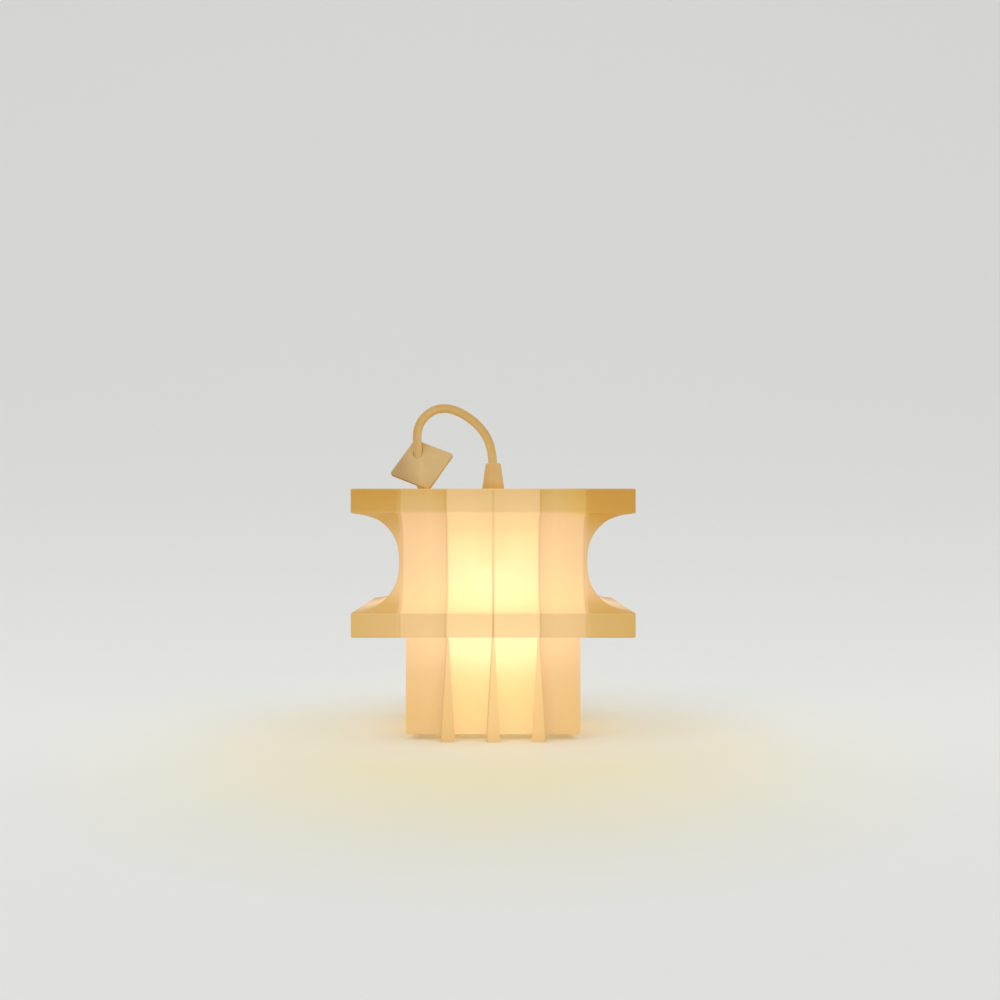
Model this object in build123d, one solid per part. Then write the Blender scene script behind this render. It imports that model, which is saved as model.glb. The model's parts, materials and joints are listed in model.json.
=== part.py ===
from build123d import *
import math
import os

# A film-skinned table lantern: a square spool of translucent film drawn over a light
# steel frame, on six blade legs, with a bulb hung from the top.
# Units are millimetres, +Z is up, -Y is the front, and the origin is the point on the
# floor under the middle of the lantern.

# Overall sizes
BAND_WIDTH = 220.0
BODY_HEIGHT = 200.0
BAND_HEIGHT = 19.0
LOWER_BAND_FOOT = 85.0
CORE_WIDTH = 140.0
CORE_FOOT = 4.5
FILM = 0.8

# The hollow between the bands, on one half: height from the waist and depth behind the
# bands' face, as shares of the whole
WAIST_WIDTH = 150.2
WAIST_PROFILE = [(1.0, 0.0), (0.951, 0.315), (0.865, 0.556), (0.681, 0.782), (0.431, 0.934), (0.0, 1.0)]

# Frame
BAR = 3.0
RIB_WIDTH = 2.0
RIB_TOP_GAP = 0.2
RIB_SPACING = 37.0
CORNER_RIB_GAP = 0.1
LEG_SPACING = 36.3
LEG_DEPTH = 12.0
LEG_TOP_WIDTH = 1.8
LEG_FOOT_WIDTH = 10.6
LEG_FOOT_HEIGHT = 4.5
BRIDGE_WIDTH = 14.0
BRIDGE_THICKNESS = 2.0

# Lamp fittings
NIPPLE_RADIUS = 5.0
NIPPLE_CLEARANCE = 0.05
NIPPLE_RISE = 6.0
NIPPLE_LENGTH = 22.0
NUT_ACROSS_FLATS = 14.0
NUT_HEIGHT = 4.0
CONE_FOOT_RADIUS = 9.8
CONE_TOP_RADIUS = 6.4
CONE_HEIGHT = 24.0
CONE_ROUNDING = 0.8
HOLDER_RADIUS = 20.0
HOLDER_WALL = 2.5
HOLDER_THREAD = 4.0
HOLDER_CROWN = 9.0
HOLDER_CAP_ROUNDING = 8.0
HOLDER_CAP_HEIGHT = 18.0
HOLDER_STEP = 0.6
GROOVE_COUNT = 3
GROOVE_WIDTH = 1.2
GROOVE_DEPTH = 0.8
GROOVE_PITCH = 3.0
GROOVE_RISE = 8.0
HOLDER_BODY_HEIGHT = 32.0
SOCKET_DEPTH = 27.0
SOCKET_RADIUS = 13.3
BULB_CAP_CLEARANCE = 0.08
BULB_CAP_TOP_GAP = 0.3
BULB_RADIUS = 30.0
BULB_LENGTH = 98.0
BULB_CAP_HEIGHT = 25.0
BULB_CONTACT_RADIUS = 4.5
BULB_CONTACT_HEIGHT = 1.0
BULB_INSULATOR_RADIUS = 9.0
BULB_INSULATOR_HEIGHT = 2.0
BULB_CAP_CHAMFER = 1.5
BULB_NECK_RADIUS = 12.6
BULB_NECK_FLARE = 1.6
BULB_NECK_HEIGHT = 6.0
BULB_SIDE_ANGLE = 28.0

# Cord, its square tag, its coil and its plug
CORD_DIAMETER = 7.5
CORD_BORE_CLEARANCE = 0.05
TAG_SIDE = 39.5
TAG_THICKNESS = 2.5
TAG_CORNER = 2.0
TAG_X = -60.2
TAG_Y = -7.0
TAG_RISE = 22.5
TAG_LEAN = 36.0
TAG_ROLL = 17.2
TAG_HOLE_CLEARANCE = 0.4
COIL_INNER_RADIUS = 29.7
COIL_TURNS_PER_LAYER = 2.5
COIL_PITCH = 9.3
COIL_LIFT = 8.1
COIL_CROSSING_TURNS = 0.5
TIE_THICKNESS = 0.8
TIE_WIDTH = 12.0
TIE_SLACK = 0.25
PLUG_LENGTH = 38.0
PLUG_WIDTH = 26.0
PLUG_THICKNESS = 14.0
PLUG_GRIP = 24.0
PLUG_CORNER = 5.0
PLUG_ENTRY_WALL = 1.2
PIN_RADIUS = 2.0
PIN_LENGTH = 19.0
PIN_SPACING = 18.6

# Worked out from the sizes above
BAND_HALF = BAND_WIDTH / 2
CORE_HALF = CORE_WIDTH / 2
UPPER_BAND_FOOT = BODY_HEIGHT - BAND_HEIGHT
LOWER_BAND_TOP = LOWER_BAND_FOOT + BAND_HEIGHT
WAIST_HEIGHT = (UPPER_BAND_FOOT + LOWER_BAND_TOP) / 2
WAIST_REACH = (UPPER_BAND_FOOT - LOWER_BAND_TOP) / 2
WAIST_DEPTH = (BAND_WIDTH - WAIST_WIDTH) / 2
COVER_FOOT = BODY_HEIGHT - FILM
INSIDE_BAND = BAND_HALF - FILM
INSIDE_CORE = CORE_HALF - FILM
SHELF_TOP = LOWER_BAND_FOOT + FILM
CORNER_RIB_X = WAIST_WIDTH / 2 - FILM - RIB_WIDTH / 2 - CORNER_RIB_GAP
SIDE_RIB_PLACES = (-RIB_SPACING, 0.0, RIB_SPACING)
RIB_PLACES = (-CORNER_RIB_X, *SIDE_RIB_PLACES, CORNER_RIB_X)
LEG_PLACES = (-LEG_SPACING, 0.0, LEG_SPACING)
NIPPLE_HOLE_RADIUS = NIPPLE_RADIUS + NIPPLE_CLEARANCE
NIPPLE_TOP = BODY_HEIGHT + NIPPLE_RISE
NIPPLE_FOOT = NIPPLE_TOP - NIPPLE_LENGTH
CORD_RADIUS = CORD_DIAMETER / 2
CORD_BORE = CORD_RADIUS + CORD_BORE_CLEARANCE
TOP_CORD_Z = BODY_HEIGHT + CORD_RADIUS
COIL_OUTER_RADIUS = COIL_INNER_RADIUS + COIL_TURNS_PER_LAYER * COIL_PITCH
COIL_LOW_Z = CORD_RADIUS + TIE_THICKNESS
COIL_HIGH_Z = COIL_LOW_Z + COIL_LIFT
HOLDER_TOP = NIPPLE_FOOT + HOLDER_THREAD
HOLDER_CAP_FOOT = HOLDER_TOP - HOLDER_CAP_HEIGHT
HOLDER_FOOT = HOLDER_CAP_FOOT - HOLDER_BODY_HEIGHT
SOCKET_TOP = HOLDER_FOOT + SOCKET_DEPTH
BULB_CAP_RADIUS = SOCKET_RADIUS - BULB_CAP_CLEARANCE
BULB_CAP_TOP = SOCKET_TOP - BULB_CAP_TOP_GAP
BULB_CAP_FOOT = BULB_CAP_TOP - BULB_CAP_HEIGHT
BRIDGE_FOOT = COVER_FOOT - BRIDGE_THICKNESS

# The cord's route: out of the grip, over in an arch, through the tag, back across the
# top, down behind and onto the coil
DROP_X = -62.0
DROP_Y = BAND_HALF + 32.0
COIL_Y = DROP_Y + 48.0
COIL_X = DROP_X + COIL_OUTER_RADIUS
CORD_JOIN = (-61.0, 50.0, TOP_CORD_Z)
ARCH_ROUTE = [
    (0.0, 0.0, BODY_HEIGHT + 14.0),
    (0.0, 0.0, BODY_HEIGHT + 37.0),
    (-12.0, 0.0, BODY_HEIGHT + 57.0),
    (-32.0, 0.0, BODY_HEIGHT + 70.0),
    (-47.1, 0.0, BODY_HEIGHT + 71.0),
    (-58.6, 0.0, BODY_HEIGHT + 64.0),
    (-65.0, 0.0, BODY_HEIGHT + 52.4),
    (-64.2, 0.0, BODY_HEIGHT + 36.0),
    (-62.6, 0.0, BODY_HEIGHT + 20.4),
    (-62.2, 6.0, BODY_HEIGHT + 9.8),
    (-62.0, 16.5, TOP_CORD_Z),
    (-60.4, 34.0, TOP_CORD_Z),
    CORD_JOIN,
]
DROP_ROUTE = [
    CORD_JOIN,
    (-62.0, 77.0, TOP_CORD_Z),
    (-61.4, BAND_HALF - 6.0, TOP_CORD_Z),
    (-61.8, BAND_HALF + 14.6, TOP_CORD_Z + 0.6),
    (DROP_X, BAND_HALF + 26.0, BODY_HEIGHT - 3.0),
    (DROP_X, DROP_Y, BODY_HEIGHT - 15.0),
    (DROP_X - 1.2, DROP_Y + 0.8, BODY_HEIGHT - 40.0),
    (DROP_X - 0.4, DROP_Y - 0.4, BODY_HEIGHT - 85.0),
    (DROP_X - 0.9, DROP_Y, 72.0),
    (DROP_X, DROP_Y, 44.0),
    (DROP_X, DROP_Y + 3.6, 28.0),
    (DROP_X, DROP_Y + 12.0, 16.6),
    (DROP_X, DROP_Y + 26.0, COIL_HIGH_Z),
    (DROP_X, COIL_Y, COIL_HIGH_Z),
]
PLUG_CORD_POINT = (COIL_X + COIL_OUTER_RADIUS, COIL_Y - 22.0, PLUG_THICKNESS / 2)


def block(low, high):
    """Axis-aligned block between two corners."""
    size = [high[i] - low[i] for i in range(3)]
    middle = [(high[i] + low[i]) / 2 for i in range(3)]
    return Pos(*middle) * Box(*size)


def square_ring(outer_half, inner_half, foot, top):
    """Square ring of one height."""
    outer = block((-outer_half, -outer_half, foot), (outer_half, outer_half, top))
    inner = block((-inner_half, -inner_half, foot - 1), (inner_half, inner_half, top + 1))
    return outer - inner


def upright(radius, foot, top):
    """Vertical cylinder on the lantern's axis."""
    return Pos(0, 0, (foot + top) / 2) * Cylinder(radius, top - foot)


def waist_points(inset):
    """Points (distance from the axis, height) of the film's hollow, set in by inset."""
    half = []
    for rise, depth in WAIST_PROFILE:
        half.append((BAND_HALF - WAIST_DEPTH * depth, WAIST_HEIGHT + WAIST_REACH * rise))
    line = half + [(out, 2 * WAIST_HEIGHT - height) for out, height in reversed(half[:-1])]
    moved = []
    for index, (out, height) in enumerate(line):
        before = line[max(index - 1, 0)]
        after = line[min(index + 1, len(line) - 1)]
        run = math.hypot(after[0] - before[0], after[1] - before[1])
        if index in (0, len(line) - 1):
            normal = (0.0, 1.0 if index == 0 else -1.0)
        else:
            normal = ((after[1] - before[1]) / run, -(after[0] - before[0]) / run)
        moved.append((out + normal[0] * inset, height + normal[1] * inset))
    return moved


def waist_strip(outer_inset, inner_inset, span):
    """Curved strip between two insets of the hollow, in the front wall, span wide."""
    outer = [Vector(0, -out, height) for out, height in waist_points(outer_inset)]
    inner = [Vector(0, -out, height) for out, height in waist_points(inner_inset)]
    edges = [
        Spline(*outer),
        Line(outer[-1], inner[-1]),
        Spline(*reversed(inner)),
        Line(inner[0], outer[0]),
    ]
    face = make_face(Wire(edges).edges())
    return extrude(face, amount=span / 2, dir=(1, 0, 0), both=True)


def quarter_turns(solid, count):
    """The solid turned by quarter turns about the lantern's axis."""
    return Rot(0, 0, 90 * count) * solid


def mitre_prism():
    """Wedge that cuts a wall to the quarter of the plan in front of the axis."""
    reach = BAND_WIDTH
    plan = Polygon((0, 0), (-reach, -reach), (reach, -reach), align=None)
    return extrude(Plane.XY * plan, amount=BODY_HEIGHT)


def waist_panel():
    """One wall of the hollow film, mitred at its corners."""
    return waist_strip(0.0, FILM, BAND_WIDTH) & mitre_prism()


def rib(x):
    """Steel rib behind the film: its curve and its two straight ends behind the bands."""
    curve = waist_strip(FILM, FILM + BAR, RIB_WIDTH)
    reach = INSIDE_BAND - BAR
    curve = curve & block((-RIB_WIDTH, -reach, 0), (RIB_WIDTH, 0, BODY_HEIGHT))
    half = RIB_WIDTH / 2
    upper = block((-half, -reach, UPPER_BAND_FOOT + FILM), (half, BAR - reach, BRIDGE_FOOT - RIB_TOP_GAP))
    lower = block((-half, -reach, SHELF_TOP), (half, BAR - reach, LOWER_BAND_TOP - FILM))
    return Pos(x, 0, 0) * (curve + upper + lower)


def leg(x):
    """Blade leg that widens from a wire's width to its foot, on the core's front face."""
    top = LEG_TOP_WIDTH / 2
    foot = LEG_FOOT_WIDTH / 2
    outline = Polygon(
        (-top, LOWER_BAND_FOOT),
        (-foot, LEG_FOOT_HEIGHT * 2),
        (-foot, 0),
        (foot, 0),
        (foot, LEG_FOOT_HEIGHT * 2),
        (top, LOWER_BAND_FOOT),
        align=None,
    )
    return Pos(x, -CORE_HALF, 0) * extrude(Plane.XZ * outline, amount=LEG_DEPTH)


def core_panel(front):
    """One flat film wall of the core; front and back lap the side walls' edges."""
    half = CORE_HALF if front else INSIDE_CORE
    low = (-half, -CORE_HALF, CORE_FOOT)
    return block(low, (half, -INSIDE_CORE, LOWER_BAND_FOOT))


def top_cover():
    """Flat film over the top, holed for the nipple."""
    cover = block((-BAND_HALF, -BAND_HALF, COVER_FOOT), (BAND_HALF, BAND_HALF, BODY_HEIGHT))
    return cover - upright(NIPPLE_HOLE_RADIUS, COVER_FOOT - 1, BODY_HEIGHT + 1)


def bridge():
    """Flat bar across the top that carries the lamp."""
    reach = INSIDE_BAND - BAR
    half = BRIDGE_WIDTH / 2
    bar = block((-reach, -half, BRIDGE_FOOT), (reach, half, COVER_FOOT))
    return bar - upright(NIPPLE_HOLE_RADIUS, BRIDGE_FOOT - 1, COVER_FOOT + 1)


def nipple():
    """Hollow nipple through the bridge and the cover."""
    return upright(NIPPLE_RADIUS, NIPPLE_FOOT, NIPPLE_TOP) - upright(CORD_BORE, NIPPLE_FOOT - 1, NIPPLE_TOP + 1)


def lock_nut():
    """Hexagon nut under the bridge."""
    prism = extrude(RegularPolygon(NUT_ACROSS_FLATS / 2, 6, major_radius=False), amount=NUT_HEIGHT)
    nut = Pos(0, 0, BRIDGE_FOOT - NUT_HEIGHT) * prism
    return nut - upright(NIPPLE_HOLE_RADIUS, NIPPLE_FOOT, NIPPLE_TOP)


def cord_grip():
    """Conical cord grip on the cover."""
    cone = Pos(0, 0, BODY_HEIGHT + CONE_HEIGHT / 2) * Cone(CONE_FOOT_RADIUS, CONE_TOP_RADIUS, CONE_HEIGHT)
    cone = fillet(cone.edges().sort_by(Axis.Z)[-1], CONE_ROUNDING)
    cone = cone - upright(CORD_BORE, BODY_HEIGHT - 1, BODY_HEIGHT + CONE_HEIGHT + 1)
    return cone - upright(NIPPLE_HOLE_RADIUS, BODY_HEIGHT - 1, NIPPLE_TOP)


def holder_cap():
    """Domed cap of the lampholder, on the nipple."""
    cap = upright(HOLDER_RADIUS, HOLDER_CAP_FOOT, HOLDER_TOP)
    cap = fillet(cap.edges().sort_by(Axis.Z)[-1], HOLDER_CAP_ROUNDING)
    hollow = upright(HOLDER_RADIUS - HOLDER_WALL, HOLDER_CAP_FOOT - 1, HOLDER_TOP - HOLDER_CROWN)
    return cap - hollow - upright(NIPPLE_HOLE_RADIUS, HOLDER_CAP_FOOT, HOLDER_TOP + 1)


def holder_body():
    """Lampholder's skirt with its socket."""
    skirt_radius = HOLDER_RADIUS - HOLDER_STEP
    body = upright(skirt_radius, HOLDER_FOOT, HOLDER_CAP_FOOT)
    body = fillet(body.edges().sort_by(Axis.Z)[0], GROOVE_WIDTH)
    floor = upright(skirt_radius - GROOVE_DEPTH, HOLDER_FOOT, HOLDER_CAP_FOOT)
    for number in range(GROOVE_COUNT):
        foot = HOLDER_FOOT + GROOVE_RISE + GROOVE_PITCH * number
        body = body - (upright(HOLDER_RADIUS, foot, foot + GROOVE_WIDTH) - floor)
    return body - upright(SOCKET_RADIUS, HOLDER_FOOT - 1, SOCKET_TOP)


def bulb_cap():
    """Metal cap of the bulb with its centre contact."""
    shell_top = BULB_CAP_TOP - BULB_CONTACT_HEIGHT - BULB_INSULATOR_HEIGHT
    shell = upright(BULB_CAP_RADIUS, BULB_CAP_FOOT, shell_top)
    shell = chamfer(shell.edges().sort_by(Axis.Z)[-1], BULB_CAP_CHAMFER)
    middle = shell_top + BULB_INSULATOR_HEIGHT / 2
    insulator = Pos(0, 0, middle) * Cone(BULB_INSULATOR_RADIUS, BULB_CONTACT_RADIUS, BULB_INSULATOR_HEIGHT)
    contact = upright(BULB_CONTACT_RADIUS, shell_top, BULB_CAP_TOP)
    return shell + insulator + contact


def bulb_glass():
    """Glass of the bulb: a round globe with a neck, one turned outline."""
    foot = BULB_CAP_TOP - BULB_LENGTH
    middle = foot + BULB_RADIUS
    angle = math.radians(BULB_SIDE_ANGLE)
    side = (BULB_RADIUS * math.cos(angle), 0, middle + BULB_RADIUS * math.sin(angle))
    neck = (BULB_NECK_RADIUS + BULB_NECK_FLARE, 0, BULB_CAP_FOOT - BULB_NECK_HEIGHT)
    rim = (BULB_NECK_RADIUS, 0, BULB_CAP_FOOT)
    globe = ThreePointArc((0, 0, foot), (BULB_RADIUS, 0, middle), side)
    shoulder = TangentArc(Vector(*side), Vector(*neck), tangent=globe % 1)
    centre = (0, 0, BULB_CAP_FOOT)
    outline = [globe, shoulder, Line(neck, rim), Line(rim, centre), Line(centre, (0, 0, foot))]
    return revolve(make_face(Wire(outline).edges()), Axis.Z, 360)


def round_tube(path, radius):
    """Round tube along a path of edges."""
    start = path @ 0
    direction = path % 0
    section = Plane(origin=start, z_dir=direction) * Circle(radius)
    return sweep(section, path=path)


def route_radii(points):
    """Bend radius at each inner point of a route."""
    radii = []
    for before, here, after in zip(points, points[1:], points[2:]):
        run_in = Vector(*here) - Vector(*before)
        run_out = Vector(*after) - Vector(*here)
        turn = math.radians(run_in.get_angle(run_out))
        radii.append(0.45 * min(run_in.length, run_out.length) / math.tan(turn / 2))
    return radii


def cord_stretch(points, name):
    """Free stretch of the cord, as straight runs joined by tangent arcs."""
    radii = route_radii(points)
    print(name, "least radius", round(min(radii), 1), "all", [round(r) for r in radii])
    path = FilletPolyline(*[Vector(*p) for p in points], radius=radii)
    tube = round_tube(path, CORD_RADIUS)
    expected = math.pi * CORD_RADIUS ** 2 * path.length
    print(name, "length", round(path.length, 1), "volume ratio", round(tube.volume / expected, 4))
    return tube, path.length


def tag_plane():
    """Plane of the square tag: rolled in the picture and leaning back at its top."""
    centre = Pos(TAG_X, TAG_Y, BODY_HEIGHT + TAG_RISE)
    return Plane(centre * Rot(0, -TAG_ROLL, 0) * Rot(-TAG_LEAN, 0, 0) * Rot(90, 0, 0) * Rot(0, 0, 45))


def cord_tag():
    """Bare square tag threaded on the cord."""
    plate = extrude(RectangleRounded(TAG_SIDE, TAG_SIDE, TAG_CORNER), amount=TAG_THICKNESS / 2, both=True)
    plate = tag_plane().location * plate
    high = Vector(*ARCH_ROUTE[7])
    low = Vector(*ARCH_ROUTE[8])
    along = (low - high).normalized()
    drill = Plane(origin=high - along * 4.0, z_dir=along) * Cylinder(
        CORD_RADIUS + TAG_HOLE_CLEARANCE, 28.0, align=(Align.CENTER, Align.CENTER, Align.MIN))
    return plate - drill


def coil_place(turn):
    """Point on the coil's middle line after a number of turns, counted from the drop."""
    inward = COIL_TURNS_PER_LAYER
    crossed = inward + COIL_CROSSING_TURNS
    if turn <= inward:
        radius = COIL_OUTER_RADIUS - COIL_PITCH * turn
        height = COIL_HIGH_Z
    elif turn <= crossed:
        share = (turn - inward) / COIL_CROSSING_TURNS
        radius = COIL_INNER_RADIUS
        height = COIL_HIGH_Z - COIL_LIFT * (3 - 2 * share) * share ** 2
    else:
        radius = COIL_INNER_RADIUS + COIL_PITCH * (turn - crossed)
        height = COIL_LOW_Z
    angle = math.pi - 2 * math.pi * turn
    return Vector(COIL_X + radius * math.cos(angle), COIL_Y + radius * math.sin(angle), height)


def coil_heading(turn, total):
    """Unit direction of the coil's middle line; its two ends run straight along Y."""
    if turn <= 0:
        return Vector(0, 1, 0)
    if turn >= total:
        return Vector(0, -1, 0)
    step = 0.002
    return (coil_place(turn + step) - coil_place(turn - step)).normalized()


def biarc(start, start_way, end, end_way):
    """Two tangent arcs from one point and direction to another."""
    gap = end - start
    along = gap.dot(start_way + end_way)
    spread = 2 * (1 - start_way.dot(end_way))
    if spread < 1e-9:
        length = gap.dot(gap) / (2 * along)
    else:
        length = (math.sqrt(along ** 2 + spread * gap.dot(gap)) - along) / spread
    knot = (start + start_way * length + end - end_way * length) * 0.5
    backwards = TangentArc(end, knot, tangent=end_way * -1)
    return [TangentArc(start, knot, tangent=start_way), ThreePointArc(knot, backwards @ 0.5, end)]


def coil():
    """Coiled part of the cord: two layers of turns, then the lead to the plug."""
    total = 2 * COIL_TURNS_PER_LAYER + COIL_CROSSING_TURNS
    count = round(total * 8)
    turns = [total * index / count for index in range(count + 1)]
    edges = []
    for here, there in zip(turns, turns[1:]):
        start, end = coil_place(here), coil_place(there)
        edges += biarc(start, coil_heading(here, total), end, coil_heading(there, total))
    edges += biarc(coil_place(total), Vector(0, -1, 0), Vector(*PLUG_CORD_POINT), Vector(0, -1, 0))
    path = Wire(edges)
    tube = round_tube(path, CORD_RADIUS)
    expected = math.pi * CORD_RADIUS ** 2 * path.length
    print("coil length", round(path.length, 1), "volume ratio", round(tube.volume / expected, 4))
    print("coil least gap", round(coil_gap(total), 2))
    return tube, path.length


def coil_gap(total):
    """Least gap of the coil to itself, measured on points of its middle line."""
    count = round(total * 72)
    points = [coil_place(total * index / count) for index in range(count + 1)]
    least = 1e9
    for index, point in enumerate(points):
        for other in points[index + 40:]:
            least = min(least, (point - other).length)
    return least - CORD_DIAMETER


def coil_tie():
    """Strap round the coil's turns, on its far side."""
    low = COIL_INNER_RADIUS - CORD_RADIUS - TIE_SLACK
    high = COIL_OUTER_RADIUS + CORD_RADIUS + TIE_SLACK
    top = COIL_HIGH_Z + CORD_RADIUS + TIE_SLACK
    half = TIE_WIDTH / 2
    outer = block((-half, low - TIE_THICKNESS, 0), (half, high + TIE_THICKNESS, top + TIE_THICKNESS))
    inner = block((-half - 1, low, TIE_THICKNESS - 0.02), (half + 1, high, top))
    return Pos(COIL_X, COIL_Y, 0) * (outer - inner)


def plug_body():
    """Moulded two-pin plug with a tapered cord entry."""
    x, y, z = PLUG_CORD_POINT
    front = y - PLUG_LENGTH
    body = Pos(x, front + PLUG_GRIP / 2, z) * Box(PLUG_WIDTH, PLUG_GRIP, PLUG_THICKNESS)
    body = fillet(body.edges().filter_by(Axis.Y), PLUG_CORNER)
    shoulder = Plane(origin=(x, front + PLUG_GRIP, z), x_dir=(1, 0, 0), z_dir=(0, 1, 0))
    entry = Plane(origin=(x, y, z), x_dir=(1, 0, 0), z_dir=(0, 1, 0))
    wide = shoulder * RectangleRounded(PLUG_WIDTH, PLUG_THICKNESS, PLUG_CORNER)
    narrow = entry * Circle(CORD_RADIUS + PLUG_ENTRY_WALL)
    return body + loft([wide, narrow])


def plug_pin(side):
    """One round pin of the plug."""
    x, y, z = PLUG_CORD_POINT
    middle = y - PLUG_LENGTH - PIN_LENGTH / 2
    pin = Pos(x + side * PIN_SPACING / 2, middle, z) * Rot(90, 0, 0) * Cylinder(PIN_RADIUS, PIN_LENGTH)
    return fillet(pin.edges().sort_by(Axis.Y)[0], PIN_RADIUS / 2)


def hoops():
    """Square hoops of the frame, by name."""
    bands = (INSIDE_BAND, INSIDE_BAND - BAR)
    core = (INSIDE_CORE, INSIDE_CORE - BAR)
    return {
        "upper_hoop_top": square_ring(*bands, COVER_FOOT - BAR, COVER_FOOT),
        "upper_hoop_foot": square_ring(*bands, UPPER_BAND_FOOT + FILM, UPPER_BAND_FOOT + FILM + BAR),
        "lower_hoop_top": square_ring(*bands, LOWER_BAND_TOP - FILM - BAR, LOWER_BAND_TOP - FILM),
        "lower_hoop_foot": square_ring(*bands, SHELF_TOP, SHELF_TOP + BAR),
        "core_hoop_top": square_ring(CORE_HALF + BAR, INSIDE_CORE - BAR, SHELF_TOP, SHELF_TOP + BAR),
        "core_hoop_foot": square_ring(*core, CORE_FOOT, CORE_FOOT + BAR),
    }


def main():
    """Build every piece and write one file for each."""
    os.makedirs("parts", exist_ok=True)
    pieces = hoops()
    pieces["top_cover"] = top_cover()
    pieces["upper_band"] = square_ring(BAND_HALF, INSIDE_BAND, UPPER_BAND_FOOT + FILM, COVER_FOOT)
    pieces["lower_band"] = square_ring(BAND_HALF, INSIDE_BAND, SHELF_TOP, LOWER_BAND_TOP - FILM)
    pieces["lower_shelf"] = square_ring(BAND_HALF, INSIDE_CORE, LOWER_BAND_FOOT, SHELF_TOP)
    panel = waist_panel()
    sides = ("front", "right", "back", "left")
    for count, side in enumerate(sides):
        pieces["waist_panel_" + side] = quarter_turns(panel, count)
        pieces["core_panel_" + side] = quarter_turns(core_panel(count % 2 == 0), count)
    for count, side in ((0, "front"), (2, "back")):
        for number, x in enumerate(RIB_PLACES, start=1):
            pieces[f"rib_{side}_{number}"] = quarter_turns(rib(x), count)
        for number, x in enumerate(LEG_PLACES, start=1):
            pieces[f"leg_{side}_{number}"] = quarter_turns(leg(x), count)
    for count, side in ((1, "right"), (3, "left")):
        for number, y in enumerate(SIDE_RIB_PLACES, start=1):
            pieces[f"rib_{side}_{number}"] = quarter_turns(rib(y), count)
    low = INSIDE_CORE - BAR
    post = block((low, low, CORE_FOOT + BAR), (INSIDE_CORE, INSIDE_CORE, SHELF_TOP))
    for count, corner in enumerate(("back_right", "back_left", "front_left", "front_right")):
        pieces["post_" + corner] = quarter_turns(post, count)
    pieces["bridge"] = bridge()
    pieces["nipple"] = nipple()
    pieces["lock_nut"] = lock_nut()
    pieces["cord_grip"] = cord_grip()
    pieces["holder_cap"] = holder_cap()
    pieces["holder_body"] = holder_body()
    pieces["bulb_cap"] = bulb_cap()
    pieces["bulb_glass"] = bulb_glass()
    arch, arch_length = cord_stretch(ARCH_ROUTE, "cord_arch")
    drop, drop_length = cord_stretch(DROP_ROUTE, "cord_drop")
    turns, coil_length = coil()
    pieces["cord_arch"] = arch
    pieces["cord_drop"] = drop
    pieces["cord_coil"] = turns
    pieces["cord_tag"] = cord_tag()
    pieces["coil_tie"] = coil_tie()
    pieces["plug_body"] = plug_body()
    pieces["plug_pin_left"] = plug_pin(-1)
    pieces["plug_pin_right"] = plug_pin(1)
    print("cord outside the grip", round(arch_length + drop_length + coil_length))
    print("nodes", len(pieces))
    for name, solid in pieces.items():
        box = solid.bounding_box()
        print(name, len(solid.solids()), [round(v, 1) for v in (*box.min, *box.max)])
        export_step(solid, f"parts/{name}.step")


if __name__ == "__main__":
    main()
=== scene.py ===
"""Visual model of the film-skinned table lantern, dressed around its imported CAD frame.

The lantern's film is one drawn skin over the frame's hoops and ribs. Its glow is worked
out in the material from each point's distance to the lamp, so it holds from every side.
All lengths are metres unless a name says otherwise.
"""
import json
import logging
import math
from dataclasses import dataclass, field
from enum import Enum
from typing import Optional, Sequence

import bmesh
import bpy
import numpy as np
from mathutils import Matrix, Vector

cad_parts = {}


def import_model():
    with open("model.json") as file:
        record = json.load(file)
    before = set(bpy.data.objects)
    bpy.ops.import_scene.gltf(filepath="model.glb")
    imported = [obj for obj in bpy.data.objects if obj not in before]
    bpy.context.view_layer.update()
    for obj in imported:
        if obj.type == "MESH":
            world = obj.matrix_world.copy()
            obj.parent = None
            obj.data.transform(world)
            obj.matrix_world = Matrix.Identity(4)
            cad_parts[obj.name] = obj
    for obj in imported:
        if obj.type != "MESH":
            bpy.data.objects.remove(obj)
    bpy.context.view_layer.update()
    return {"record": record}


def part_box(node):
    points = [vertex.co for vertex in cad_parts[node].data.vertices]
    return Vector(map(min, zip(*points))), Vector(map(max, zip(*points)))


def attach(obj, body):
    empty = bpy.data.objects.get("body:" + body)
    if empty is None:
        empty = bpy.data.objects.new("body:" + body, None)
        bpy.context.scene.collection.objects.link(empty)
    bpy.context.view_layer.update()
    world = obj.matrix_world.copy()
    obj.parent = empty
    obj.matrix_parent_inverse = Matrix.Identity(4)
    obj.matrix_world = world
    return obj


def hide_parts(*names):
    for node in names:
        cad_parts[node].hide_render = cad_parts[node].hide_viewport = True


LOG = logging.getLogger("lantern")
MM = 0.001

Colour = tuple[float, float, float]
Point = tuple[float, float, float]


def srgb(red: float, green: float, blue: float) -> Colour:
    """Turn an 8-bit screen colour into Blender's linear colour.

    Args:
        red: Red, 0 to 255.
        green: Green, 0 to 255.
        blue: Blue, 0 to 255.

    Returns:
        The linear colour.
    """
    parts = []
    for value in (red, green, blue):
        share = value / 255
        parts.append(share / 12.92 if share <= 0.04045 else ((share + 0.055) / 1.055) ** 2.4)
    return (parts[0], parts[1], parts[2])


class Body(str, Enum):
    """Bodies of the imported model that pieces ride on."""

    LANTERN = "lantern"
    BULB = "bulb"


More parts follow.
